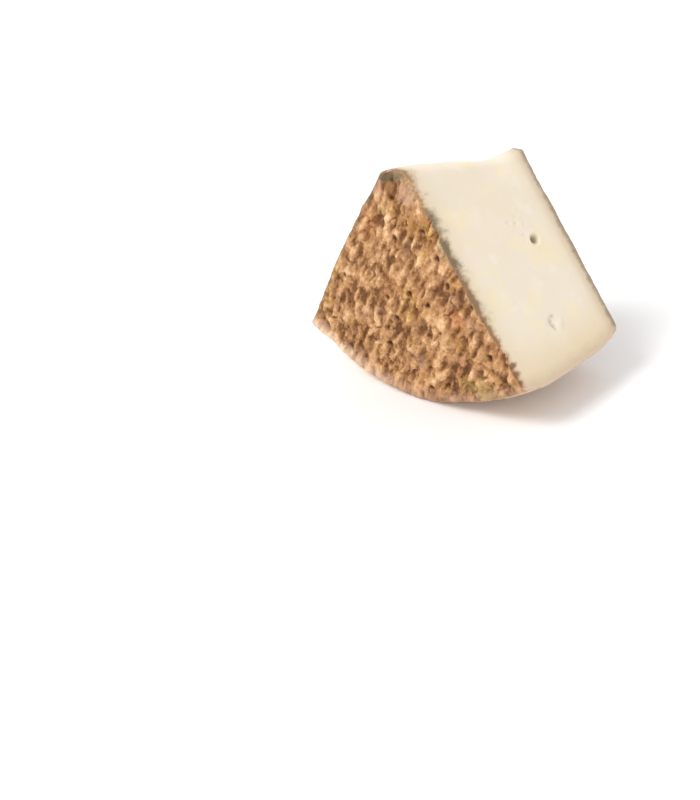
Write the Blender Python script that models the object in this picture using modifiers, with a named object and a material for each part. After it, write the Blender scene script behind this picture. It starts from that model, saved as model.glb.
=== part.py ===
"""A hand-cut wedge of rinded cheese, standing on its curved rind.

A low cylindrical wheel is turned, laid on its side, and cut to a wedge by knives: one cut face on
each side, a small cut across the fragile tip, and a pressed flat where the rind carries the weight.
Metres, +Z up. The wheel's axis runs along Y, above the standing surface, and the wedge's tip is up.
The origin is in the middle of the wedge's bounding box, on the standing surface.
"""

import math

import bmesh
import bpy
from mathutils import Matrix, Vector

# The wheel that the wedge comes from
WHEEL_RADIUS = 0.1034        # at the fullest part of the side
WHEEL_THICKNESS = 0.0640     # from rim to rim
RIM_DROP = 0.0042            # how much narrower the wheel is at its rims than at its belly
RIM_ROUNDING = 0.0032        # radius where the side turns into a face
FRONT_PUFF = 0.0016          # the patterned face swells by this much
BACK_PUFF = 0.0004           # the other face is nearly flat
PUFF_CENTRE = 0.60           # where a face swells most, as a share of its radius
PUFF_REACH = 0.36            # half the width of that swelling, as a share of the face's radius

# How finely the wheel is drawn
TURN_STEPS = 120             # facets in a full turn
FACE_STEPS = 18              # facets from the wheel's axis to the edge of a face
CORNER_STEPS = 6             # facets round a rim
SIDE_STEPS = 20              # facets down the side

# The cuts
WEDGE_HALF_ANGLE = math.radians(34.1)
LEFT_CUT_SKEW = math.radians(13.0)   # the left knife leaned, so the wedge narrows towards the back
TIP_DEPTH = 0.0090           # how far below the wheel's axis the blunt tip starts, at the front
TIP_SLOPE = math.radians(7.0)        # the blunt tip falls towards the back
FOOT_DEPTH = 0.0004          # how deep the standing patch is pressed into the rind

# The wedge is moved sideways by this much so that its box is centred over the origin
CENTRE_SHIFT_X = -0.0010
KNIFE_SIZE = 0.40

PASTE_COLOUR = (0.84, 0.76, 0.62, 1.0)
RIND_COLOUR = (0.50, 0.29, 0.14, 1.0)


def remove_all_objects():
    for obj in list(bpy.data.objects):
        bpy.data.objects.remove(obj, do_unlink=True)


def new_collection(name):
    collection = bpy.data.collections.new(name)
    bpy.context.scene.collection.children.link(collection)
    return collection


def new_material(name, colour, roughness):
    material = bpy.data.materials.new(name)
    material.use_nodes = True
    shader = material.node_tree.nodes["Principled BSDF"]
    shader.inputs["Base Color"].default_value = colour
    shader.inputs["Roughness"].default_value = roughness
    shader.inputs["Metallic"].default_value = 0.0
    return material


def face_height(radius, face_radius, puff):
    """Height of a face above its rim plane: one soft ring-shaped swelling."""
    offset = (radius / face_radius - PUFF_CENTRE) / PUFF_REACH
    if abs(offset) >= 1.0:
        return 0.0
    return puff * 0.5 * (1.0 + math.cos(math.pi * offset))


def face_profile(face_radius, puff):
    """Points from the wheel's axis to the edge of a face, as (radius, height above the rim plane)."""
    radii = [face_radius * i / FACE_STEPS for i in range(FACE_STEPS + 1)]
    return [(radius, face_height(radius, face_radius, puff)) for radius in radii]


def side_radius(height):
    """Radius of the bulged side at a height above the wheel's middle."""
    share = abs(height) / (WHEEL_THICKNESS / 2)
    return WHEEL_RADIUS - RIM_DROP * share ** 4


def wheel_profile():
    """Half outline of the wheel in the XZ plane, from the top centre round to the bottom centre."""
    half = WHEEL_THICKNESS / 2
    shoulder = half - RIM_ROUNDING
    shoulder_radius = side_radius(shoulder)
    face_radius = shoulder_radius - RIM_ROUNDING
    corner = []
    for i in range(1, CORNER_STEPS):
        angle = math.pi / 2 * (1 - i / CORNER_STEPS)
        corner.append((face_radius + RIM_ROUNDING * math.cos(angle),
                       shoulder + RIM_ROUNDING * math.sin(angle)))
    side = []
    for i in range(SIDE_STEPS + 1):
        height = shoulder * (1 - 2 * i / SIDE_STEPS)
        side.append((side_radius(height), height))
    top = [(r, half + rise) for r, rise in face_profile(face_radius, FRONT_PUFF)]
    bottom = [(r, -half - rise) for r, rise in face_profile(face_radius, BACK_PUFF)]
    lower_corner = [(r, -z) for r, z in reversed(corner)]
    return top + corner + side + lower_corner + bottom[::-1]


def turned_wheel(name, collection):
    """The whole wheel, turned about its own axis with its patterned face towards -Y."""
    points = wheel_profile()
    mesh = bpy.data.meshes.new(name)
    edges = [(i, i + 1) for i in range(len(points) - 1)]
    mesh.from_pydata([(radius, 0.0, height) for radius, height in points], edges, [])
    wheel = bpy.data.objects.new(name, mesh)
    collection.objects.link(wheel)
    screw = wheel.modifiers.new("turned", "SCREW")
    screw.steps = TURN_STEPS
    screw.render_steps = TURN_STEPS
    screw.use_merge_vertices = True
    screw.merge_threshold = 0.00001
    screw.use_smooth_shade = True
    wheel.rotation_euler = (math.pi / 2, 0.0, 0.0)
    wheel.location = axis_point()
    return wheel


def axis_point():
    """The point of the wheel's axis over the origin: the pressed foot is at height zero."""
    return Vector((CENTRE_SHIFT_X, (FRONT_PUFF - BACK_PUFF) / 2, WHEEL_RADIUS - FOOT_DEPTH))


def knife(name, point, outward, collection):
    """A block whose inner face lies on a cut: it takes away all that is on the outward side."""
    outward = outward.normalized()
    mesh = bpy.data.meshes.new(name)
    block = bmesh.new()
    bmesh.ops.create_cube(block, size=KNIFE_SIZE)
    block.to_mesh(mesh)
    block.free()
    cutter = bpy.data.objects.new(name, mesh)
    collection.objects.link(cutter)
    cutter.rotation_euler = outward.to_track_quat("Z", "Y").to_euler()
    cutter.location = point + outward * (KNIFE_SIZE / 2)
    cutter.display_type = "WIRE"
    cutter.hide_render = True
    return cutter


def cut(piece, cutter):
    boolean = piece.modifiers.new("cut by " + cutter.name, "BOOLEAN")
    boolean.operation = "DIFFERENCE"
    boolean.solver = "EXACT"
    boolean.material_mode = "TRANSFER"
    boolean.object = cutter


def right_cut_normal():
    return Vector((math.cos(WEDGE_HALF_ANGLE), 0.0, math.sin(WEDGE_HALF_ANGLE)))


def left_cut_normal():
    """The left cut, leaned about the line where it meets the patterned face."""
    upright = Vector((-math.cos(WEDGE_HALF_ANGLE), 0.0, math.sin(WEDGE_HALF_ANGLE)))
    front_edge = Vector((-math.sin(WEDGE_HALF_ANGLE), 0.0, -math.cos(WEDGE_HALF_ANGLE)))
    return Matrix.Rotation(LEFT_CUT_SKEW, 3, front_edge) @ upright


def tip_cut_normal():
    return Vector((0.0, math.sin(TIP_SLOPE), math.cos(TIP_SLOPE)))


def build_wedge():
    objects = new_collection("cheese wedge")
    knives = new_collection("knives")
    wedge = turned_wheel("cheese_wedge", objects)
    axis = axis_point()
    front = axis + Vector((0.0, -WHEEL_THICKNESS / 2, 0.0))
    cuts = [
        knife("right_cut", axis, right_cut_normal(), knives),
        knife("left_cut", front, left_cut_normal(), knives),
        knife("tip_cut", front + Vector((0.0, 0.0, -TIP_DEPTH)), tip_cut_normal(), knives),
        knife("foot_press", Vector((0.0, 0.0, 0.0)), Vector((0.0, 0.0, -1.0)), knives),
    ]
    for cutter in cuts:
        cut(wedge, cutter)
    wedge.data.materials.append(new_material("rind", RIND_COLOUR, 0.85))
    for cutter in cuts[:3]:
        cutter.data.materials.append(new_material("paste", PASTE_COLOUR, 0.6))
    return wedge


remove_all_objects()
build_wedge()
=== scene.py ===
"""A wedge of rinded cheese with a basket-marked face, built as a Blender add-on and run as a script.

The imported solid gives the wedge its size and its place. Over it goes one fine skin: a soft, slightly
uneven paste on the cut faces, and a rind that carries the imprint of the basket it was pressed in.
Metres, +Z up. The wheel that the wedge was cut from has its axis along Y, and the marked face looks
towards -Y. Inside the node trees lengths are in millimetres, unless a comment says metres.
"""

import math

import bmesh
import bpy
from bpy.props import FloatProperty, FloatVectorProperty, IntProperty, PointerProperty
from mathutils import Euler, Matrix, Vector


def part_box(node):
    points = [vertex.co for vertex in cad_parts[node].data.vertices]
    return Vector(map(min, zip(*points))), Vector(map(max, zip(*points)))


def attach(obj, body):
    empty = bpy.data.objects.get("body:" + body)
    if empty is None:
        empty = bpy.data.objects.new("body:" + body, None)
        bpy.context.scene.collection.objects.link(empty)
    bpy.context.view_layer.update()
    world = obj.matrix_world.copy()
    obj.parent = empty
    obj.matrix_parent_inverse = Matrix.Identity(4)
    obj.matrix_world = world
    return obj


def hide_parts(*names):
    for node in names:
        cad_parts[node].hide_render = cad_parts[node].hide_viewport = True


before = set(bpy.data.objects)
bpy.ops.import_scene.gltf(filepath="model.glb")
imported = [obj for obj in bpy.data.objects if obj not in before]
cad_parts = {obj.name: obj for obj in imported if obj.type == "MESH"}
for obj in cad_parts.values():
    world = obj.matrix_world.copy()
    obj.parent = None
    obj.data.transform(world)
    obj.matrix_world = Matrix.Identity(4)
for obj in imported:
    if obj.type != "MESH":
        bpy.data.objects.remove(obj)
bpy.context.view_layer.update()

bl_info = {
    "name": "Cheese Wedge",
    "version": (1, 0, 0),
    "blender": (4, 5, 0),
    "location": "View3D > Sidebar > Cheese",
    "description": "Builds a hand-cut wedge of rinded cheese and a plain studio for it",
    "category": "Add Mesh",
}

NODE = "cheese_wedge"
BODY = "root"
MM = 0.001

# The wheel that the wedge was cut from, and the cuts, as the solid has them (metres, radians)
WHEEL_RADIUS = 0.1034
WHEEL_THICKNESS = 0.0640
RIM_DROP = 0.0042
RIM_ROUNDING = 0.0032
FRONT_PUFF = 0.0016
BACK_PUFF = 0.0004
PUFF_CENTRE = 0.60
PUFF_REACH = 0.36
FOOT_DEPTH = 0.0004
WEDGE_HALF_ANGLE = math.radians(34.1)
LEFT_CUT_SKEW = math.radians(13.0)
WHEEL_AXIS = Vector((-0.0010, (FRONT_PUFF - BACK_PUFF) / 2, WHEEL_RADIUS - FOOT_DEPTH))

# Outward normals of the two cuts. The left one is leaned about its edge with the marked face.
RIGHT_CUT = Vector((math.cos(WEDGE_HALF_ANGLE), 0.0, math.sin(WEDGE_HALF_ANGLE)))
LEFT_EDGE = Vector((-math.sin(WEDGE_HALF_ANGLE), 0.0, -math.cos(WEDGE_HALF_ANGLE)))
LEFT_UPRIGHT = Vector((-math.cos(WEDGE_HALF_ANGLE), 0.0, math.sin(WEDGE_HALF_ANGLE)))
LEFT_CUT = Matrix.Rotation(LEFT_CUT_SKEW, 3, LEFT_EDGE) @ LEFT_UPRIGHT

# The same wheel in millimetres, as the node trees measure it
RADIUS = WHEEL_RADIUS / MM
HALF = WHEEL_THICKNESS / MM / 2
ROUNDING = RIM_ROUNDING / MM

# Inputs of the relief's node tree: lengths, the lean in degrees, and the seed
RELIEF_INPUTS = {
    "Rib pitch": 4.8,
    "Row pitch": 9.6,
    "Rib lean": 28.0,
    "Imprint depth": 1.45,
    "Pit spacing": 7.0,
    "Pit depth": 1.3,
    "Side grain": 0.70,
    "Cut waviness": 0.30,
    "Seed": 3.0,
}

# The basket's imprint: how far its ribs sway and drift, how far lumps and fibres are drawn out along
# the ribs (less is longer), and what each feature adds between the crests, 0, and the troughs, 1
RIB_SWAY = 1.8
RIB_FINE_SWAY = 1.0
RIB_DRIFT = 2.4
LUMP_DRAW = 0.48
FIBRE_DRAW = 0.24
IMPRINT_BASE = 0.18
RIB_SHARE = 0.30
ROW_SHARE = 0.16
PLAIT_SHARE = 1.05
CREASE_SHARE = 0.34
LUMP_SHARE = 0.70
FIBRE_SHARE = 0.38

# What else shapes the wheel's faces, how strong the relief of the back is beside that of the marked
# face, and how deep below its own surface a relief still moves the skin
FACE_SWELL = 0.35
FACE_GRAIN = 0.32
BACK_STRENGTH = 0.85
RELIEF_REACH = 4.0

# Random pits: their smallest and largest radius, in pit spacings
PIT_RADII = (0.16, 0.30)

# Single pits of the marked face: centre from the wheel's centre, and radius
FRONT_PITS = (
    ((12.0, -29.5), 2.1),
    ((-2.0, -35.0), 2.6),
    ((19.5, -38.5), 2.2),
    ((24.0, -48.0), 1.9),
    ((-29.0, -63.0), 1.9),
    ((-3.0, -67.0), 2.2),
    ((14.0, -58.0), 1.7),
)
FRONT_PIT_DEPTH = 1.1

# Long grooves of the marked face, from the wheel's centre: start, end, half width, depth
FRONT_GROOVES = (
    ((-7.0, -24.0), (-31.0, -70.0), 2.6, 0.8),
    ((38.0, -77.0), (52.0, -84.0), 2.6, 0.8),
    ((46.5, -69.0), (49.5, -78.0), 2.4, 1.3),
    ((-1.0, -11.0), (-4.0, -24.0), 2.2, 0.7),
)

# How far the rim beside the marked face stands out under its middle and left, and at its left corner
RIM_BELLY = 1.9
RIM_CORNER = 1.1

# The eye, the flake and the crumbly spot of the right cut: distance from the wheel's axis, and along it
EYE = (53.1, 13.0)
FLAKE = (84.6, 1.2)
CRUMBLY = (46.0, 7.0)

# The scab that stands beside the flake, from the flake's own centre
SCAB = (1.6, 1.7)

# How deep these marks are, how proud the eye's lip and the scab stand, and the paste's fine grain
EYE_DEPTH = 1.9
LIP_HEIGHT = 0.08
FLAKE_DEPTH = 0.5
SCAB_HEIGHT = 0.40
CRUMB_DEPTH = 0.40
CUT_GRAIN = 0.07

# How far the ridge's front and back ends are lifted, its front left corner is let down, the dip before
# its back end goes down, and the left cut is drawn in below the front end
FRONT_LIFT = 1.3
BACK_LIFT = 1.0
CORNER_DROP = 1.7
RIDGE_DIP = 1.9
SHOULDER = 0.8

# Rounds of smoothing: over the whole skin, to take its facets off, and then along the ridge alone
SKIN_ROUNDS = 3
RIDGE_ROUNDS = 80

# Patches over a colour: the other colour, how it is laid, the patches' pitch, where the noise is read,
# the noise at which a patch begins and is full, and its strength
RIND_PATCHES = (
    ("rind_orange", "MULTIPLY", 12.0, (0.0, 0.0, 0.0), (0.54, 0.68), 0.16),
    ("rind_olive", "MULTIPLY", 9.0, (0.0, 0.0, 80.0), (0.54, 0.68), 0.70),
    ("rind_pink", "MIX", 8.0, (90.0, 10.0, 0.0), (0.58, 0.72), 0.28),
)
PASTE_PATCHES = (
    ("paste_warm", "MIX", 30.0, (0.0, 0.0, 0.0), (0.35, 0.65), 0.60),
    ("paste_pale", "MIX", 9.0, (0.0, 20.0, 0.0), (0.55, 0.68), 0.35),
    ("paste_yellow", "MIX", 14.0, (0.0, 0.0, 60.0), (0.50, 0.66), 0.50),
    ("paste_rosy", "MIX", 18.0, (60.0, 0.0, 0.0), (0.50, 0.66), 0.40),
)

# Single marks of the marked face: centre from the wheel's centre, half width and half height, colour,
# and strength
FRONT_MARKS = (
    ((0.0, -14.0), (6.0, 5.5), "rind_brown", 0.75),
    ((-2.0, -9.5), (8.5, 4.5), "mould", 0.90),
    ((-4.0, -11.0), (4.5, 2.2), "rind_pit", 0.50),
    ((5.0, -17.0), (5.0, 5.0), "rind_pink", 0.60),
    ((-9.0, -16.0), (3.0, 4.0), "rind_pink", 0.50),
    ((-6.5, -24.5), (2.0, 2.0), "moss", 0.60),
    ((-15.0, -30.0), (4.0, 7.0), "rind_spot", 0.30),
    ((28.0, -61.0), (4.0, 3.5), "rind_spot", 0.50),
    ((36.0, -88.0), (10.0, 5.0), "moss", 0.45),
)

# Streaks of rind that the knife dragged into the cut near the foot: distance from the wheel's axis and
# place along it, and how far the streak reaches to either side of that place
RIND_STREAKS = (
    ((86.0, -31.0), 2.6),
    ((89.3, -30.0), 4.0),
    ((92.6, -31.0), 4.6),
    ((96.0, -31.0), 3.2),
)
STREAK_THINNESS = 2.4

# How the rind's colour runs from its pale crests, 0, to its deepest pits, 1, and what each cause adds. Its
# brown towards the troughs and pits is partly the rind's own colour and partly painted shade, and the
# foot's share makes it darker towards the bottom.
RIND_STOPS = (
    (0.02, "rind_pale"),
    (0.28, "rind_tan"),
    (0.62, "rind_brown"),
    (0.95, "rind_pit"),
)
SHADE_BASE = 0.12
HOLLOW_SHARE = 0.76
BROAD_SHARE = 0.13
MOTTLE_SHARE = 0.30
SPECK_SHARE = 0.21
FOOT_SHARE = 0.07

# The studio (metres)
FLOOR_WIDTH = 30.0
KEY_LIGHT_WIDTH = 1.6
KEY_LIGHT_OFFSET = Vector((-0.95, -2.57, 2.97))
NEAREST_SEEN = 0.01

# The camera's sensor, in millimetres as Blender takes it
SENSOR_WIDTH = 36.0


# ---------------------------------------------------------------- node arithmetic

class Field:
    """A value that differs from point to point: a node's output, with ordinary arithmetic."""

    def __init__(self, tree, socket):
        self.tree = tree
        self.socket = socket

    def math(self, operation, *others, clamp=False):
        step = self.tree.nodes.new("ShaderNodeMath")
        step.operation = operation
        step.use_clamp = clamp
        for socket, value in zip(step.inputs, (self, *others)):
            feed(self.tree, socket, value)
        return Field(self.tree, step.outputs[0])

    def __add__(self, other):
        return self.math("ADD", other)

    def __radd__(self, other):
        return self.math("ADD", other)

    def __sub__(self, other):
        return self.math("SUBTRACT", other)

    def __rsub__(self, other):
        return self.math("MULTIPLY", -1.0).math("ADD", other)

    def __mul__(self, other):
        return self.math("MULTIPLY", other)

    def __rmul__(self, other):
        return self.math("MULTIPLY", other)

    def __truediv__(self, other):
        return self.math("DIVIDE", other)

    def __rtruediv__(self, other):
        return self.math("POWER", -1.0).math("MULTIPLY", other)

    def __pow__(self, other):
        return self.math("POWER", other)

    def __abs__(self):
        return self.math("ABSOLUTE")

    def clamped(self):
        """Held between 0 and 1."""
        return self.math("ADD", 0.0, clamp=True)

    def spread(self, low, high):
        """0 to 1 made into low to high."""
        return self * (high - low) + low

    def rise(self, start, end):
        """0 below start, 1 above end, and a smooth ramp between them."""
        ramp = self.tree.nodes.new("ShaderNodeMapRange")
        ramp.interpolation_type = "SMOOTHSTEP"
        feed(self.tree, ramp.inputs["Value"], self)
        feed(self.tree, ramp.inputs["From Min"], start)
        feed(self.tree, ramp.inputs["From Max"], end)
        return Field(self.tree, ramp.outputs["Result"])

    def fall(self, start, end):
        """1 below start, 0 above end."""
        return 1.0 - self.rise(start, end)


def feed(tree, socket, value):
    """Gives a socket a field, or a plain value."""
    if isinstance(value, Field):
        tree.links.new(value.socket, socket)
    else:
        socket.default_value = value


def lesser(first, second):
    """The smaller of a field and another, point by point."""
    return first.math("MINIMUM", second)


def greater(first, second):
    """The larger of a field and another, point by point."""
    return first.math("MAXIMUM", second)


def distance(across, up, centre=(0.0, 0.0)):
    """How far a point is from a centre, in the plane of the two fields."""
    off_across = across - centre[0]
    off_up = up - centre[1]
    return (off_across * off_across + off_up * off_up).math("SQRT")


def combine(tree, x, y, z):
    step = tree.nodes.new("ShaderNodeCombineXYZ")
    for socket, value in zip(step.inputs, (x, y, z)):
        feed(tree, socket, value)
    return Field(tree, step.outputs[0])


def separate(tree, vector):
    step = tree.nodes.new("ShaderNodeSeparateXYZ")
    feed(tree, step.inputs[0], vector)
    return [Field(tree, socket) for socket in step.outputs]


def scaled(tree, vector, factor):
    step = tree.nodes.new("ShaderNodeVectorMath")
    step.operation = "SCALE"
    feed(tree, step.inputs[0], vector)
    feed(tree, step.inputs["Scale"], factor)
    return Field(tree, step.outputs[0])


def vector_sum(tree, first, second):
    step = tree.nodes.new("ShaderNodeVectorMath")
    step.operation = "ADD"
    feed(tree, step.inputs[0], first)
    feed(tree, step.inputs[1], second)
    return Field(tree, step.outputs[0])


def shifted(tree, vector, offset):
    return vector_sum(tree, vector, tuple(offset))


def noise(tree, point, pitch, detail=2.0, roughness=0.5, offset=None, signed=True):
    """Smooth noise whose lumps are about one pitch apart: -1 to 1, or 0 to 1 if not signed.

    With an offset it is read somewhere else, so that it doesn't match another noise.
    """
    if offset is not None:
        point = shifted(tree, point, offset)
    step = tree.nodes.new("ShaderNodeTexNoise")
    feed(tree, step.inputs["Vector"], point)
    feed(tree, step.inputs["Scale"], 1.0 / pitch)
    feed(tree, step.inputs["Detail"], detail)
    feed(tree, step.inputs["Roughness"], roughness)
    value = Field(tree, step.outputs["Fac"])
    if signed:
        return (value - 0.5) * 2.0
    return value


def cells(tree, point, pitch, output):
    """Random cells one pitch apart: Distance from the nearest one's centre, in pitches, or its Color."""
    step = tree.nodes.new("ShaderNodeTexVoronoi")
    feed(tree, step.inputs["Vector"], point)
    feed(tree, step.inputs["Scale"], 1.0 / pitch)
    return Field(tree, step.outputs[output])


# ---------------------------------------------------------------- the wheel and the cuts

def face_puff(radius, puff):
    """How far a face of the wheel swells at a radius: a ring, and nothing outside it."""
    offset = (radius / RADIUS - PUFF_CENTRE) / PUFF_REACH
    swelling = (offset * math.pi).math("COSINE") * 0.5 + 0.5
    return swelling * abs(offset).fall(0.98, 1.0) * puff


def wheel_depths(radius, y):
    """How deep a point is below the marked face, the back, the side, and the whole rounded rind."""
    front = y + HALF + face_puff(radius, FRONT_PUFF / MM)
    back = HALF - y + face_puff(radius, BACK_PUFF / MM)
    side = RADIUS - RIM_DROP / MM * (y / HALF) ** 4 - radius
    face = lesser(front, back)
    beside_face = greater(ROUNDING - face, 0.0)
    beside_side = greater(ROUNDING - side, 0.0)
    rounded = ROUNDING - distance(beside_face, beside_side)
    return front, back, side, rounded + greater(lesser(face, side) - ROUNDING, 0.0)


def inside_cuts(x, y, z):
    """How far inside the right and the left cut a point is."""
    right = (x * RIGHT_CUT.x + z * RIGHT_CUT.z) * -1.0
    left = (x * LEFT_CUT.x + (y + HALF) * LEFT_CUT.y + z * LEFT_CUT.z) * -1.0
    return right, left


# ---------------------------------------------------------------- the wedge's relief

def wave(field):
    """1 at every whole number, 0 half way between, and smooth all along."""
    return (field * math.tau).math("COSINE") * 0.5 + 0.5


def basket_imprint(tree, across, up, size, seed):
    """The basket's mark: 0 on the crests and 1 in the deepest troughs.

    Ribs lie side by side and rows cross them, but curd doesn't fill a plait evenly: the ribs come and
    go, and torn lumps, creases and fibres that lean the same way lie over them.
    """
    where = combine(tree, across, seed, up)
    sway = noise(tree, where, pitch=14.0) * RIB_SWAY
    sway = sway + noise(tree, where, pitch=5.0, offset=(9.0, 0.0, 0.0)) * RIB_FINE_SWAY
    drift = noise(tree, where, pitch=9.0, offset=(40.0, 0.0, 7.0)) * RIB_DRIFT
    lean = size["Rib lean"].math("RADIANS")
    across_ribs = across * lean.math("COSINE") - up * lean.math("SINE") + sway
    along_ribs = across * lean.math("SINE") + up * lean.math("COSINE") + drift
    rib = across_ribs / size["Rib pitch"]
    row = (up * 0.99 + across * 0.14 + drift) / size["Row pitch"]
    plait = (1.0 - wave(rib)) * RIB_SHARE + (1.0 - wave(row + rib * 0.5)) * ROW_SHARE

    torn = combine(tree, across_ribs, seed, along_ribs * LUMP_DRAW)
    crease = abs(noise(tree, torn, pitch=3.8)).fall(0.0, 0.16)
    lumps = noise(tree, torn, pitch=3.5, detail=3.0, roughness=0.66, offset=(0.0, 30.0, 0.0))
    drawn = combine(tree, across_ribs, seed + 20.0, along_ribs * FIBRE_DRAW)
    fibres = noise(tree, drawn, pitch=2.1, roughness=0.6)

    clear = noise(tree, where, pitch=13.0, offset=(0.0, 45.0, 0.0)).rise(-0.30, 0.25)
    deep = noise(tree, where, pitch=8.0, offset=(0.0, 75.0, 0.0)).rise(-0.30, 0.30)
    low = IMPRINT_BASE + plait * clear.spread(0.2, 1.0) * PLAIT_SHARE + crease * deep * CREASE_SHARE
    low = low + lumps * LUMP_SHARE + fibres * FIBRE_SHARE
    return low.rise(0.0, 0.90)


def pits(tree, across, up, size, seed):
    """Uneven round pits, one to a cell, in two cells out of five: 1 in a pit's middle."""
    where = combine(tree, across, seed, up)
    near = cells(tree, where, size["Pit spacing"], "Distance") + noise(tree, where, pitch=2.6) * 0.20
    luck, width, _ = separate(tree, cells(tree, where, size["Pit spacing"], "Color"))
    reach = width.spread(*PIT_RADII)
    return near.fall(reach * 0.2, reach) * luck.rise(0.58, 0.62)


def groove(tree, across, up, start, end, width):
    """1 along a wavering line between two points, falling to 0 beside it, and fainter in places."""
    run = Vector(end) - Vector(start)
    length = run.length
    run.normalize()
    where = combine(tree, across, 0.0, up)
    off_across = across - start[0]
    off_up = up - start[1]
    side = off_across * run.y - off_up * run.x + noise(tree, where, pitch=7.0) * 1.6
    along = off_across * run.x + off_up * run.y
    within = along.rise(-2.0, 2.0) * along.fall(length - 4.0, length + 1.0)
    clear = noise(tree, where, pitch=5.5).rise(-0.35, 0.20).spread(0.3, 1.0)
    return abs(side).fall(0.0, width) * within * clear


def face_relief(tree, across, up, size, seed, rim_fade):
    """Relief of a face of the wheel: where it is hollow, and how far it is pressed in."""
    where = combine(tree, across, seed, up)
    imprint = basket_imprint(tree, across, up, size, seed) * rim_fade
    pit = pits(tree, across, up, size, seed) * rim_fade
    swell = noise(tree, where, pitch=16.0, detail=1.0, offset=(0.0, 90.0, 0.0)) * FACE_SWELL
    grain = noise(tree, where, pitch=1.9, roughness=0.6)
    press = imprint * size["Imprint depth"] + pit * size["Pit depth"] + grain * FACE_GRAIN + swell
    return greater(imprint * 0.78 + grain * 0.14, pit), press


def front_relief(tree, x, z, size, seed, rim_fade):
    """Relief of the marked face, with its single pits and long grooves."""
    hollow, press = face_relief(tree, x, z, size, seed, rim_fade)
    ragged = noise(tree, combine(tree, x, seed, z), pitch=2.8, detail=3.0) * 1.6
    for centre, reach in FRONT_PITS:
        pit = (distance(x, z, centre) + ragged).fall(reach * 0.15, reach)
        hollow = greater(hollow, pit)
        press = press + pit * FRONT_PIT_DEPTH
    for start, end, width, depth in FRONT_GROOVES:
        line = groove(tree, x, z, start, end, width)
        hollow = greater(hollow, line * 0.75)
        press = press + line * depth
    return hollow, press


def side_relief(tree, turn, along, size, seed):
    """Relief of the wheel's side: torn lumps and shallow pits, and the rim that stands out in front."""
    around = turn * RADIUS
    where = combine(tree, around, along, seed)
    lumps = noise(tree, where, pitch=4.5, detail=4.0, roughness=0.65)
    pit = pits(tree, around, along, size, seed) * 0.7
    hollow = greater((lumps * -1.0).rise(-0.35, 0.6), pit)
    press = lumps * size["Side grain"] * -1.0 + pit * size["Pit depth"] * 0.5
    bulge = turn.rise(-0.48, -0.25) * turn.fall(0.04, 0.32) * RIM_BELLY
    bulge = bulge + turn.fall(-0.55, -0.48) * RIM_CORNER
    return hollow, press - bulge * along.fall(-26.0, -6.0)


def cut_relief(tree, local, y, radius, size, on_right, rind_depth):
    """Unevenness and marks of the two cuts: how far they stand out, and how much painted shade the eye,
    the flake and the crumbs get.
    """
    waves = noise(tree, local, pitch=26.0)
    grain = noise(tree, local, pitch=3.2, offset=(5.0, 50.0, 0.0))
    lump = noise(tree, local, pitch=2.4, detail=1.0) * 0.9
    splinter = noise(tree, local, pitch=2.6, detail=3.0, offset=(3.0, 0.0, 9.0))

    from_eye = distance(radius, y, EYE)
    eye = (from_eye + lump * 0.8).fall(0.4, 2.9) * on_right
    lip = abs(from_eye + lump - 3.3).fall(0.0, 1.1) * on_right

    # The flake is the part of a ring that lies on the marked face's side, broken where the paste held
    outward = radius - FLAKE[0]
    along = y - FLAKE[1]
    flake = abs(distance(outward, along) + lump * 1.6 + splinter * 1.2 - 2.6).fall(0.1, 1.3) * on_right
    flake = flake * (outward * 0.4 + along).fall(-1.0, 0.6)
    flake = flake * (splinter + lump * 0.5).rise(-0.45, 0.05)
    scab = (distance(outward, along, SCAB) + lump * 1.3 + splinter * 1.4).fall(0.6, 3.0) * on_right

    crumb_reach = distance(radius, y, CRUMBLY).fall(2.0, 7.0)
    crumbs = (splinter + lump * 0.4).rise(0.0, 0.35) * crumb_reach * on_right

    proud = (waves * size["Cut waviness"] + grain * CUT_GRAIN) * rind_depth.rise(0.5, 4.0)
    proud = proud - eye * EYE_DEPTH + lip * LIP_HEIGHT
    proud = proud - flake * FLAKE_DEPTH + scab * SCAB_HEIGHT - crumbs * CRUMB_DEPTH
    # The second value is painted shade: how far the eye, the flake and the crumbs are filled with a deeper
    # colour
    return proud, greater(greater(eye, flake * 0.38), crumbs * 0.08)


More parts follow.
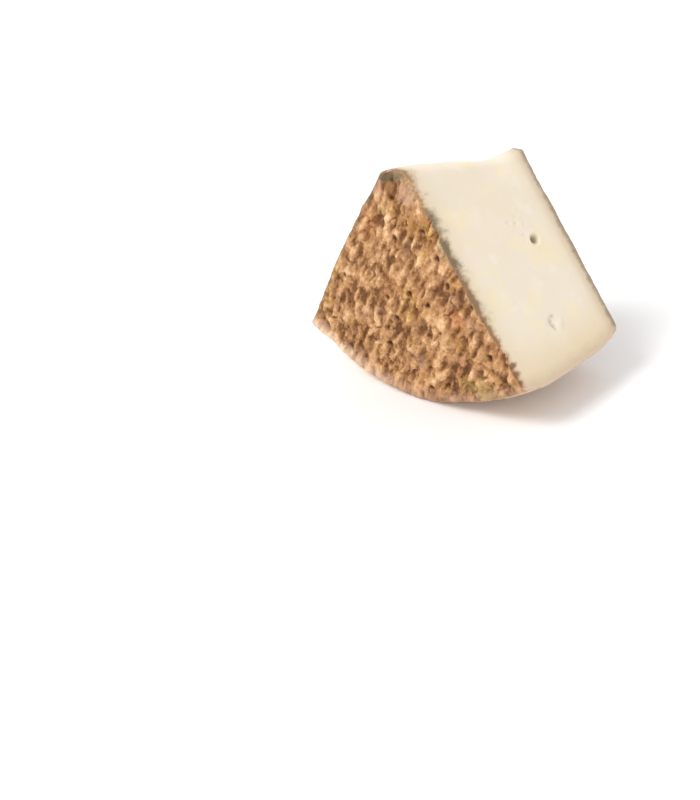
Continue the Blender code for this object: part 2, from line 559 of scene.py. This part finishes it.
def skin_relief(tree, size):
    """How far each point of the skin moves, and what the material has to know about the point."""
    place = Field(tree, tree.nodes.new("GeometryNodeInputPosition").outputs[0])
    local = scaled(tree, shifted(tree, place, -WHEEL_AXIS), 1.0 / MM)
    x, y, z = separate(tree, local)
    radius = distance(x, z)
    front_depth, back_depth, side_depth, rind_depth = wheel_depths(radius, y)
    from_right, from_left = inside_cuts(x, y, z)

    seed = size["Seed"] * 31.7
    rim_fade = side_depth.rise(0.0, 3.5).spread(0.4, 1.0)
    front_hollow, front_press = front_relief(tree, x, z, size, seed, rim_fade)
    back_hollow, back_press = face_relief(tree, x * -1.0, z, size, seed + 57.0, rim_fade)
    turn = x.math("ARCTAN2", z * -1.0)
    side_hollow, side_press = side_relief(tree, turn, y, size, seed + 11.0)

    # Relief is weaker along the edges that a knife has left straight: the marked face's left one, and
    # both of the back's
    front_press = front_press * from_left.rise(0.0, 6.0).spread(0.35, 1.0)
    back_press = back_press * from_right.rise(0.0, 7.0).spread(0.35, 1.0)
    back_press = back_press * from_left.rise(0.0, 7.0).spread(0.35, 1.0)

    at_front = front_depth.fall(0.0, RELIEF_REACH)
    at_back = back_depth.fall(0.0, RELIEF_REACH)
    at_side = side_depth.fall(0.0, RELIEF_REACH)
    move_x = x / radius * side_press * at_side * -1.0
    move_y = front_press * at_front - back_press * at_back * BACK_STRENGTH
    move_z = z / radius * side_press * at_side * -1.0
    press = combine(tree, move_x, move_y, move_z)

    on_right = from_right.fall(1.0, 3.0)
    outward = combine(tree, x.math("SIGN") * RIGHT_CUT.x, 0.0, RIGHT_CUT.z)
    proud, painted_hole_shade = cut_relief(tree, local, y, radius, size, on_right, rind_depth)
    move = vector_sum(tree, press, scaled(tree, outward, proud))

    slope = Field(tree, tree.nodes.new("GeometryNodeInputNormal").outputs[0])
    hollow = front_hollow * at_front + back_hollow * at_back + side_hollow * at_side * 0.8
    return move, {
        "cut": separate(tree, slope)[2].rise(0.20, 0.42),
        "rind_depth": rind_depth,
        "hollow": hollow.clamped(),
        "rim": side_depth,
        # The eye's attribute carries the painted shade of the eye, the flake and the crumbs
        "eye": painted_hole_shade,
    }


def moved(tree, geometry, offset):
    """The geometry with its points moved by an offset, in metres."""
    step = tree.nodes.new("GeometryNodeSetPosition")
    tree.links.new(geometry, step.inputs["Geometry"])
    feed(tree, step.inputs["Offset"], offset)
    return step.outputs[0]


def smoothed(tree, geometry, place, rounds, weight):
    """The geometry with each point drawn towards its neighbours, some rounds over."""
    blur = tree.nodes.new("GeometryNodeBlurAttribute")
    blur.data_type = "FLOAT_VECTOR"
    feed(tree, blur.inputs["Value"], place)
    blur.inputs["Iterations"].default_value = rounds
    feed(tree, blur.inputs["Weight"], weight)
    step = tree.nodes.new("GeometryNodeSetPosition")
    tree.links.new(geometry, step.inputs["Geometry"])
    tree.links.new(blur.outputs["Value"], step.inputs["Position"])
    return step.outputs[0]


def soften(tree, geometry):
    """Takes the facets off the skin, lets the fragile ridge sag between its ends, and rounds it.

    Lengths are in metres here, because nothing is measured from the wheel's centre.
    """
    place = Field(tree, tree.nodes.new("GeometryNodeInputPosition").outputs[0])
    low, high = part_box(NODE)
    x, y, height = separate(tree, place)
    ridge = height.rise(high.z - 16.0 * MM, high.z - 7.0 * MM)
    front_left = x.fall(-7.0 * MM, -1.5 * MM) * y.fall(-28.0 * MM, -12.0 * MM)
    lift = y.fall(-26.0 * MM, -4.0 * MM) * FRONT_LIFT + y.rise(25.0 * MM, 32.5 * MM) * BACK_LIFT
    lift = lift - front_left * CORNER_DROP
    dip = y.rise(-4.0 * MM, 16.0 * MM) * y.fall(17.0 * MM, 25.5 * MM) * RIDGE_DIP
    shoulder = height.rise(high.z - 34.0 * MM, high.z - 12.0 * MM) * y.fall(-30.0 * MM, 0.0)
    drawn_in = shoulder * x.fall(-8.0 * MM, 2.0 * MM) * (-SHOULDER * MM)
    geometry = moved(tree, geometry, combine(tree, drawn_in, 0.0, ridge * (lift - dip) * MM))
    geometry = smoothed(tree, geometry, place, SKIN_ROUNDS, 1.0)
    inside = (y - low.y).rise(0.5 * MM, 9.0 * MM) * (high.y - y).rise(0.5 * MM, 9.0 * MM)
    return smoothed(tree, geometry, place, RIDGE_ROUNDS, ridge * inside)


def rested(tree, geometry):
    """Lifts the points that the relief has pushed below the surface the wedge stands on, in metres."""
    place = Field(tree, tree.nodes.new("GeometryNodeInputPosition").outputs[0])
    below = greater(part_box(NODE)[0].z - separate(tree, place)[2], 0.0)
    return moved(tree, geometry, combine(tree, 0.0, 0.0, below))


def stored(tree, geometry, name, value):
    """The geometry with a value kept at each point, for the material to read."""
    store = tree.nodes.new("GeometryNodeStoreNamedAttribute")
    store.data_type = "FLOAT"
    store.domain = "POINT"
    store.inputs["Name"].default_value = name
    tree.links.new(geometry, store.inputs["Geometry"])
    feed(tree, store.inputs["Value"], value)
    return store.outputs[0]


def relief_tree(name, material):
    """Geometry nodes that soften the wedge's skin and press the relief into it."""
    tree = bpy.data.node_groups.new(name, "GeometryNodeTree")
    tree.interface.new_socket("Geometry", in_out="INPUT", socket_type="NodeSocketGeometry")
    for label, value in RELIEF_INPUTS.items():
        socket = tree.interface.new_socket(label, in_out="INPUT", socket_type="NodeSocketFloat")
        socket.default_value = value
    tree.interface.new_socket("Geometry", in_out="OUTPUT", socket_type="NodeSocketGeometry")
    entry = tree.nodes.new("NodeGroupInput")
    leave = tree.nodes.new("NodeGroupOutput")
    size = {label: Field(tree, entry.outputs[label]) for label in RELIEF_INPUTS}

    geometry = soften(tree, entry.outputs["Geometry"])
    move, facts = skin_relief(tree, size)
    for label, value in facts.items():
        geometry = stored(tree, geometry, label, value)
    geometry = moved(tree, geometry, scaled(tree, move, MM))
    geometry = rested(tree, geometry)

    smooth = tree.nodes.new("GeometryNodeSetShadeSmooth")
    tree.links.new(geometry, smooth.inputs["Geometry"])
    real = tree.nodes.new("GeometryNodeRealizeInstances")
    tree.links.new(smooth.outputs[0], real.inputs[0])
    coat = tree.nodes.new("GeometryNodeSetMaterial")
    coat.inputs["Material"].default_value = material
    tree.links.new(real.outputs[0], coat.inputs["Geometry"])
    tree.links.new(coat.outputs[0], leave.inputs["Geometry"])
    return tree


def set_input(modifier, label, value):
    """Gives a geometry nodes modifier one of its named inputs."""
    for item in modifier.node_group.interface.items_tree:
        if item.item_type == "SOCKET" and item.in_out == "INPUT" and item.name == label:
            modifier[item.identifier] = value
            return
    raise RuntimeError(f"the node tree has no input named {label}")


# ---------------------------------------------------------------- materials

def linear(red, green, blue):
    """A colour given as it looks on a screen, 0 to 255, as Blender's linear numbers."""
    shares = [c / 255 for c in (red, green, blue)]
    return tuple(((c + 0.055) / 1.055) ** 2.4 for c in shares)


def with_alpha(colour):
    """A colour as a socket takes it: a field as it is, or a plain colour made opaque."""
    if isinstance(colour, Field):
        return colour
    return (*tuple(colour)[:3], 1.0)


def mixed(tree, share, first, second, blend="MIX"):
    """A colour between two others: the first where the share is 0, and the second where it is 1."""
    step = tree.nodes.new("ShaderNodeMix")
    step.data_type = "RGBA"
    step.blend_type = blend
    share_socket, first_socket, second_socket = step.inputs[0], step.inputs[6], step.inputs[7]
    feed(tree, share_socket, share)
    feed(tree, first_socket, with_alpha(first))
    feed(tree, second_socket, with_alpha(second))
    return Field(tree, step.outputs[2])


def read_back(tree, name):
    """A value that the relief's node tree has kept at each point."""
    step = tree.nodes.new("ShaderNodeAttribute")
    step.attribute_name = name
    return Field(tree, step.outputs["Fac"])


def ramp(tree, share, stops):
    """A colour that runs through the given (share, colour) stops."""
    step = tree.nodes.new("ShaderNodeValToRGB")
    feed(tree, step.inputs["Fac"], share)
    elements = step.color_ramp.elements
    for place, _ in stops[1:-1]:
        elements.new(place)
    for element, (place, colour) in zip(elements, stops):
        element.position = place
        element.color = with_alpha(colour)
    return Field(tree, step.outputs["Color"])


def patched(tree, place, colour, patches, looks, detail=2.0):
    """A colour with soft patches of other colours over it."""
    for paint, blend, pitch, offset, edges, strength in patches:
        patch = noise(tree, place, pitch=pitch, detail=detail, offset=offset, signed=False)
        colour = mixed(tree, patch.rise(*edges) * strength, colour, getattr(looks, paint), blend=blend)
    return colour


def rind_colour(tree, place, hollow, rim, looks):
    """Pale crests, tan slopes and brown hollows, under patches of orange, olive and pink. The hollows'
    brown is partly painted shade, and the lip at the lower left carries a painted highlight.
    """
    x, y, height = separate(tree, place)
    mottle = noise(tree, place, pitch=2.4, detail=4.0, roughness=0.7, offset=(30.0, 0.0, 0.0))
    specks = noise(tree, place, pitch=1.1, detail=3.0, roughness=0.7, offset=(0.0, 60.0, 0.0))
    broad = noise(tree, place, pitch=11.0, offset=(0.0, 0.0, 20.0))
    # Painted shade: the deeper a point lies in the imprint, its pits and its grooves, the further its
    # colour is moved towards brown and the pits' colour, over the rind's own brown
    shade = hollow * HOLLOW_SHARE + SHADE_BASE + broad * BROAD_SHARE + mottle * MOTTLE_SHARE
    shade = shade + specks * SPECK_SHARE + height.fall(15.0, 80.0) * FOOT_SHARE
    colour = ramp(tree, shade, [(stop, getattr(looks, paint)) for stop, paint in RIND_STOPS])
    colour = patched(tree, place, colour, RIND_PATCHES, looks, detail=3.0)

    # The lip of the rim is pinkish, and widest at the lower left, where a painted highlight also makes it
    # palest
    reach = x.fall(-46.0, -10.0) * 1.8 + 4.6
    edge = (rim + mottle * 3.0).fall(0.8, reach) * (1.0 - hollow * 0.8)
    colour = mixed(tree, edge * (broad * 0.5 + 0.55), colour, looks.rind_pink)
    # Painted highlight: the lip is paled towards the lower left
    colour = mixed(tree, edge * x.fall(-44.0, 4.0) * 0.95, colour, looks.painted_lip_highlight)
    on_side = rim.fall(0.8, 2.5) * (HALF - 2.0 - abs(y)).rise(0.0, 4.0)
    colour = mixed(tree, on_side * (0.85 - hollow * 0.35), colour, looks.rind_side)
    return front_marks(tree, place, colour, hollow, looks)


def front_marks(tree, place, colour, hollow, looks):
    """Single marks of the marked face, the mould that has crept over its right edge from the right cut,
    and painted shade in the mould's colour along its left edge.
    """
    x, y, z = separate(tree, shifted(tree, place, WHEEL_AXIS * (-1.0 / MM)))
    at_front = y.fall(-26.0, -20.0)
    frayed = noise(tree, place, pitch=4.0, detail=4.0, roughness=0.65, offset=(11.0, 3.0, 0.0))
    for centre, reach, paint, strength in FRONT_MARKS:
        off_x = (x - centre[0]) / reach[0]
        off_z = (z - centre[1]) / reach[1]
        away = distance(off_x, off_z) + frayed * 1.1
        share = away.fall(0.55, 1.15) * at_front * strength * (1.0 - hollow * 0.5)
        colour = mixed(tree, share, colour, getattr(looks, paint))

    from_right, from_left = inside_cuts(x, y, z)
    patchy = noise(tree, place, pitch=9.0, offset=(5.0, 0.0, 33.0)).rise(-0.15, 0.25)
    broken = noise(tree, place, pitch=2.2, detail=3.0, roughness=0.7, offset=(44.0, 0.0, 3.0))
    broken = broken.rise(-0.35, 0.35) * 0.65 + 0.1
    crept = (from_right + frayed * 6.0).fall(0.0, 4.5) * z.rise(-64.0, -44.0) * patchy * broken
    # Painted shade: the marked face's left edge, beside the left cut, is laid over with the mould's colour
    left_edge_shade = (from_left + frayed * 3.0).fall(0.0, 3.0) * 0.35
    return mixed(tree, greater(crept, left_edge_shade) * at_front, colour, looks.mould)


def paste_colour(tree, place, depth, rim, eye, looks):
    """Ivory in the middle, greyer towards the rind, mould at the marked face, the rind's cut edge, and
    painted shade in the eye, the flake and the crumbs.
    """
    x, y, height = separate(tree, place)
    ragged = noise(tree, place, pitch=2.6, detail=3.0, roughness=0.65)
    drawn = combine(tree, x, y * 0.5, height)
    wisps = noise(tree, drawn, pitch=3.4, detail=4.0, roughness=0.68, offset=(40.0, 0.0, 0.0))
    from_front = y + HALF + ragged * 0.8 - 0.7
    from_back = HALF - y + ragged * 0.5
    colour = patched(tree, place, looks.paste, PASTE_PATCHES, looks)

    # Drier and greyer towards the side, the back and the marked face
    colour = mixed(tree, (depth + ragged * 0.9).fall(1.0, 14.0) * 0.45, colour, looks.paste_edge)
    colour = mixed(tree, rim.fall(2.0, 24.0) * 0.60, colour, looks.paste_edge)
    colour = mixed(tree, from_back.fall(0.0, 7.5) * 0.75, colour, looks.paste_grey)
    colour = mixed(tree, (rim + wisps * 2.5).fall(0.0, 7.5) * 0.70, colour, looks.paste_grey)
    colour = mixed(tree, (from_front - wisps * 3.0).fall(0.5, 4.0) * 0.6, colour, looks.rind_tan)
    colour = mixed(tree, (from_front - wisps * 3.0).fall(0.3, 2.2) * 0.75, colour, looks.rind_brown)

    # Mould threads that run in from the marked face, in patches, and only higher up
    patchy = noise(tree, place, pitch=9.0, detail=1.0, offset=(0.0, 70.0, 0.0)).rise(-0.25, 0.25)
    mouldy = (wisps + from_front.fall(0.0, 10.0) * 0.75).rise(0.12, 0.95) * from_front.fall(2.0, 10.0)
    mouldy = mouldy * height.rise(34.0, 58.0) * (height.fall(80.0, 90.0) * 0.5 + 0.5)
    mouldy = mouldy * (patchy * 0.8 + 0.2)
    colour = mixed(tree, mouldy * 0.9, colour, looks.mould)

    from_axis = distance(x, height, (0.0, WHEEL_AXIS.z / MM))
    for (outward, along), reach in RIND_STREAKS:
        aside = (from_axis - outward + ragged * 0.9) * STREAK_THINNESS
        away = distance(aside, y, (0.0, along)) + wisps * 1.2
        colour = mixed(tree, away.fall(reach * 0.35, reach) * 0.85, colour, looks.rind_brown)
    colour = mixed(tree, (from_back + wisps * 2.4).fall(0.3, 3.0) * 0.75, colour, looks.rind_edge)
    colour = mixed(tree, (rim + wisps * 0.6).fall(0.4, 1.9) * 0.75, colour, looks.rind_side)
    # Painted shade: the eye, the flake and the crumbs are filled with the eye's grey-olive
    return mixed(tree, eye * 0.85, colour, looks.painted_eye_shade)


def cheese_material(looks):
    """One material for the whole piece: rind or paste, as the relief's node tree has noted for a point."""
    material = bpy.data.materials.new("rinded cheese")
    material.use_nodes = True
    tree = material.node_tree
    shader = tree.nodes["Principled BSDF"]
    coordinates = tree.nodes.new("ShaderNodeTexCoord")
    place = scaled(tree, Field(tree, coordinates.outputs["Object"]), 1.0 / MM)
    rim = read_back(tree, "rim")
    in_paste = read_back(tree, "cut")
    rind = rind_colour(tree, place, read_back(tree, "hollow"), rim, looks)
    # The eye's attribute brings in the painted shade of the holes in the cut
    paste = paste_colour(tree, place, read_back(tree, "rind_depth"), rim, read_back(tree, "eye"), looks)
    feed(tree, shader.inputs["Base Color"], mixed(tree, in_paste, rind, paste))

    dry = noise(tree, place, pitch=2.0, detail=3.0, signed=False) * 0.16 + 0.72
    moist = noise(tree, place, pitch=5.0, signed=False) * 0.12 + 0.42
    feed(tree, shader.inputs["Roughness"], dry * (1.0 - in_paste) + moist * in_paste)

    grain = noise(tree, place, pitch=0.7, detail=3.0, roughness=0.65)
    pores = noise(tree, place, pitch=0.9) * 0.25
    bump = tree.nodes.new("ShaderNodeBump")
    bump.inputs["Distance"].default_value = 0.12 * MM
    bump.inputs["Strength"].default_value = 0.8
    feed(tree, bump.inputs["Height"], grain * (1.0 - in_paste) + pores * in_paste)
    tree.links.new(bump.outputs[0], shader.inputs["Normal"])
    shader.inputs["Specular IOR Level"].default_value = 0.35
    shader.inputs["Subsurface Weight"].default_value = 0.12
    shader.inputs["Subsurface Radius"].default_value = (1.0, 0.6, 0.35)
    shader.inputs["Subsurface Scale"].default_value = 2.0 * MM
    return material


def floor_material(colour):
    """The matt, pale floor."""
    material = bpy.data.materials.new("pale floor")
    material.use_nodes = True
    shader = material.node_tree.nodes["Principled BSDF"]
    shader.inputs["Base Color"].default_value = (*colour, 1.0)
    shader.inputs["Roughness"].default_value = 0.9
    return material


# ---------------------------------------------------------------- properties

def colour_setting(name, description, red, green, blue):
    """A colour that a user may change. Its default is given as it looks on a screen, 0 to 255."""
    return FloatVectorProperty(
        name=name, description=description,
        default=linear(red, green, blue), subtype="COLOR", min=0.0, max=1.0)


class WedgeShape(bpy.types.PropertyGroup):
    """Sizes of the wedge's skin and of the basket's imprint"""
    skin_step: FloatProperty(
        name="Skin step", description="Width of the skin's facets before it is thinned",
        default=0.00042, min=0.0003, max=0.002, unit="LENGTH", precision=5)
    triangle_limit: IntProperty(
        name="Triangles", description="The most triangles that the finished piece has",
        default=192000, min=10000, max=199000)
    rib_pitch: FloatProperty(
        name="Rib pitch", description="Distance between the ribs of the basket's imprint",
        default=RELIEF_INPUTS["Rib pitch"] * MM, min=0.002, max=0.02, unit="LENGTH", precision=4)
    row_pitch: FloatProperty(
        name="Row pitch", description="Distance between the crossings along one rib",
        default=RELIEF_INPUTS["Row pitch"] * MM, min=0.004, max=0.04, unit="LENGTH", precision=4)
    rib_lean: FloatProperty(
        name="Rib lean", description="How far the ribs lean from upright",
        default=math.radians(RELIEF_INPUTS["Rib lean"]), subtype="ANGLE")
    imprint_depth: FloatProperty(
        name="Imprint depth", description="Depth of the grooves between the ribs",
        default=RELIEF_INPUTS["Imprint depth"] * MM, min=0.0, max=0.002, unit="LENGTH", precision=5)
    seed: IntProperty(
        name="Seed", description="Another number gives another imprint",
        default=int(RELIEF_INPUTS["Seed"]), min=0, max=50)


class CheeseLooks(bpy.types.PropertyGroup):
    """Colours of the paste, the rind and what grows on them"""
    paste: colour_setting("Paste", "Middle of the cut faces", 238, 226, 206)
    paste_warm: colour_setting("Paste clouds", "Faint warm clouds in the paste", 238, 222, 196)
    paste_edge: colour_setting("Paste near the rind", "Where the paste has dried a little", 226, 204, 166)
    paste_yellow: colour_setting("Yellow clouds", "Faint yellow clouds in the paste", 244, 228, 188)
    paste_rosy: colour_setting("Rosy clouds", "Faint rosy clouds in the paste", 243, 226, 212)
    paste_pale: colour_setting("Pale blots", "Faint pale blots in the paste", 246, 236, 220)
    paste_grey: colour_setting("Dry paste", "Greyish paste along the back and the side", 200, 178, 153)
    # Painted shade: the colour that fills the eye, the flake and the crumbs
    painted_eye_shade: colour_setting("Eye", "Inside of the small hole in the cut face", 120, 112, 84)
    # Also paints the shade along the marked face's left edge
    mould: colour_setting("Mould", "Grey-olive mould beside the marked face and at the tip", 120, 108, 82)
    moss: colour_setting("Moss", "Small yellow-olive patches", 184, 160, 96)
    rind_tan: colour_setting("Rind", "Main colour of the rind", 189, 142, 96)
    # The crests' colour, where the imprint is shallowest
    rind_pale: colour_setting("Rind crests", "Pale, rubbed spots of the rind", 239, 200, 154)
    rind_brown: colour_setting("Rind grooves", "Brown of the grooves", 124, 80, 42)
    # Also the painted shade at the bottom of the deepest pits
    rind_pit: colour_setting("Rind pits", "Darkest brown, in the deepest pits", 62, 36, 16)
    rind_orange: colour_setting("Rind patches", "Warmer patches of the rind", 244, 196, 150)
    rind_olive: colour_setting("Olive bloom", "Olive patches of the rind", 226, 218, 168)
    rind_pink: colour_setting("Pink bloom", "Pinkish patches of the rind", 206, 166, 140)
    rind_spot: colour_setting("Orange spots", "Small orange spots of the marked face", 190, 112, 62)
    # Painted highlight for the lip at the lower left
    painted_lip_highlight: colour_setting("Lip", "Pale lip where the marked face meets the side", 248, 216, 184)
    rind_side: colour_setting("Side", "Paler, smoother rind of the wheel's side", 224, 198, 174)
    rind_edge: colour_setting("Cut rind", "The rind's own thickness, seen along the cuts", 144, 122, 96)


class StudioSettings(bpy.types.PropertyGroup):
    """The camera, the floor and the light round the wedge"""
    azimuth: FloatProperty(
        name="Azimuth", description="Side that the camera looks from, round from -Y towards +X",
        default=math.radians(47.91), subtype="ANGLE")
    elevation: FloatProperty(
        name="Elevation", description="How steeply the camera looks down",
        default=math.radians(28.71), subtype="ANGLE")
    roll: FloatProperty(
        name="Roll", description="How far the camera is turned about its own line of sight",
        default=math.radians(-6.73), subtype="ANGLE")
    place: FloatVectorProperty(
        name="Camera place", description="Where the camera stands",
        default=(0.2461, -0.2877, 0.1973), subtype="XYZ", unit="LENGTH")
    focal_length: FloatProperty(
        name="Focal length", description="Of the lens, in millimetres", default=44.96, min=10.0)
    floor_colour: FloatVectorProperty(
        name="Floor", description="Colour of the plain floor",
        default=(0.96, 0.96, 0.96), subtype="COLOR", min=0.0, max=1.0)
    key_power: FloatProperty(
        name="Key light", description="Power of the large soft light", default=92.0, min=0.0, unit="POWER")
    room_light: FloatProperty(
        name="Room light", description="Strength of the even white surroundings", default=0.86, min=0.0)


# ---------------------------------------------------------------- operators

def wedge_skin(step):
    """A fine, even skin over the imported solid."""
    skin = bpy.data.objects.new("wedge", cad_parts[NODE].data.copy())
    bpy.context.scene.collection.objects.link(skin)
    solid = bmesh.new()
    solid.from_mesh(skin.data)
    bmesh.ops.remove_doubles(solid, verts=solid.verts, dist=0.01 * MM)
    solid.to_mesh(skin.data)
    solid.free()
    skin.data.materials.clear()
    even = skin.modifiers.new("even skin", "REMESH")
    even.mode = "VOXEL"
    even.voxel_size = step
    return skin


def made_plain(piece):
    """Turns what the modifiers make into the piece's own mesh, and takes the modifiers off."""
    graph = bpy.context.evaluated_depsgraph_get()
    finished = bpy.data.meshes.new_from_object(piece.evaluated_get(graph))
    piece.modifiers.clear()
    old = piece.data
    piece.data = finished
    bpy.data.meshes.remove(old)


def thinned(piece, triangle_limit):
    """Takes triangles off a piece that has more than it may have."""
    triangles = sum(len(face.vertices) - 2 for face in piece.data.polygons)
    if triangles > triangle_limit:
        fewer = piece.modifiers.new("thinned", "DECIMATE")
        fewer.ratio = triangle_limit / triangles
        made_plain(piece)


class CHEESE_OT_wedge(bpy.types.Operator):
    """Builds the wedge: its skin, its relief and its one material"""
    bl_idname = "cheese.wedge"
    bl_label = "Build the wedge"

    def execute(self, context):
        shape = context.scene.cheese_shape
        wedge = wedge_skin(shape.skin_step)
        material = cheese_material(context.scene.cheese_looks)
        relief = wedge.modifiers.new("relief", "NODES")
        relief.node_group = relief_tree("basket-marked rind", material)
        set_input(relief, "Rib pitch", shape.rib_pitch / MM)
        set_input(relief, "Row pitch", shape.row_pitch / MM)
        set_input(relief, "Rib lean", math.degrees(shape.rib_lean))
        set_input(relief, "Imprint depth", shape.imprint_depth / MM)
        set_input(relief, "Seed", float(shape.seed))
        made_plain(wedge)
        if not wedge.data.polygons:
            raise RuntimeError("the wedge's skin came out empty")
        thinned(wedge, shape.triangle_limit)
        wedge.data.shade_smooth()
        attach(wedge, BODY)
        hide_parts(NODE)
        return {"FINISHED"}


def add_area_light(name, place, aim, width, power):
    """A square light that shines from a place towards another."""
    data = bpy.data.lights.new(name, "AREA")
    data.shape = "SQUARE"
    data.size = width
    data.energy = power
    light = bpy.data.objects.new(name, data)
    light.location = place
    light.rotation_euler = (aim - place).to_track_quat("-Z", "Y").to_euler()
    bpy.context.scene.collection.objects.link(light)


def add_camera(studio):
    """The camera, turned and placed as the studio's settings say."""
    data = bpy.data.cameras.new("camera")
    data.lens = studio.focal_length
    data.sensor_width = SENSOR_WIDTH
    data.clip_start = NEAREST_SEEN
    camera = bpy.data.objects.new("camera", data)
    facing = Euler((math.pi / 2 - studio.elevation, 0.0, studio.azimuth)).to_matrix()
    camera.rotation_euler = (facing @ Matrix.Rotation(studio.roll, 3, "Z")).to_euler()
    camera.location = studio.place
    bpy.context.scene.collection.objects.link(camera)
    bpy.context.scene.camera = camera


class CHEESE_OT_studio(bpy.types.Operator):
    """Sets a plain pale floor, soft light and a camera round the wedge"""
    bl_idname = "cheese.studio"
    bl_label = "Set the studio"

    def execute(self, context):
        studio = context.scene.cheese_studio
        low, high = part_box(NODE)
        centre = (low + high) / 2

        bpy.ops.mesh.primitive_plane_add(size=FLOOR_WIDTH, location=(0.0, 0.0, low.z))
        floor = context.object
        floor.name = "floor"
        floor.data.materials.append(floor_material(studio.floor_colour))

        add_camera(studio)
        add_area_light("key light", centre + KEY_LIGHT_OFFSET, centre, KEY_LIGHT_WIDTH, studio.key_power)
        world = bpy.data.worlds.new("white room")
        world.use_nodes = True
        background = world.node_tree.nodes["Background"]
        background.inputs["Color"].default_value = (1.0, 1.0, 1.0, 1.0)
        background.inputs["Strength"].default_value = studio.room_light
        context.scene.world = world
        context.scene.view_settings.view_transform = "Standard"
        return {"FINISHED"}


class CHEESE_PT_panel(bpy.types.Panel):
    """Lists what the wedge is made of"""
    bl_idname = "CHEESE_PT_panel"
    bl_label = "Cheese wedge"
    bl_space_type = "VIEW_3D"
    bl_region_type = "UI"
    bl_category = "Cheese"

    def draw(self, context):
        groups = (
            (CHEESE_OT_wedge.bl_idname, context.scene.cheese_shape),
            (None, context.scene.cheese_looks),
            (CHEESE_OT_studio.bl_idname, context.scene.cheese_studio),
        )
        for operator, settings in groups:
            box = self.layout.box()
            for key in settings.bl_rna.properties.keys():
                if key not in {"rna_type", "name"}:
                    box.prop(settings, key)
            if operator:
                box.operator(operator)


CLASSES = (
    WedgeShape,
    CheeseLooks,
    StudioSettings,
    CHEESE_OT_wedge,
    CHEESE_OT_studio,
    CHEESE_PT_panel,
)


def register():
    for item in CLASSES:
        bpy.utils.register_class(item)
    bpy.types.Scene.cheese_shape = PointerProperty(type=WedgeShape)
    bpy.types.Scene.cheese_looks = PointerProperty(type=CheeseLooks)
    bpy.types.Scene.cheese_studio = PointerProperty(type=StudioSettings)


def unregister():
    del bpy.types.Scene.cheese_studio
    del bpy.types.Scene.cheese_looks
    del bpy.types.Scene.cheese_shape
    for item in reversed(CLASSES):
        bpy.utils.unregister_class(item)


def main():
    register()
    bpy.ops.cheese.wedge()
    bpy.ops.cheese.studio()


if __name__ == "__main__":
    main()
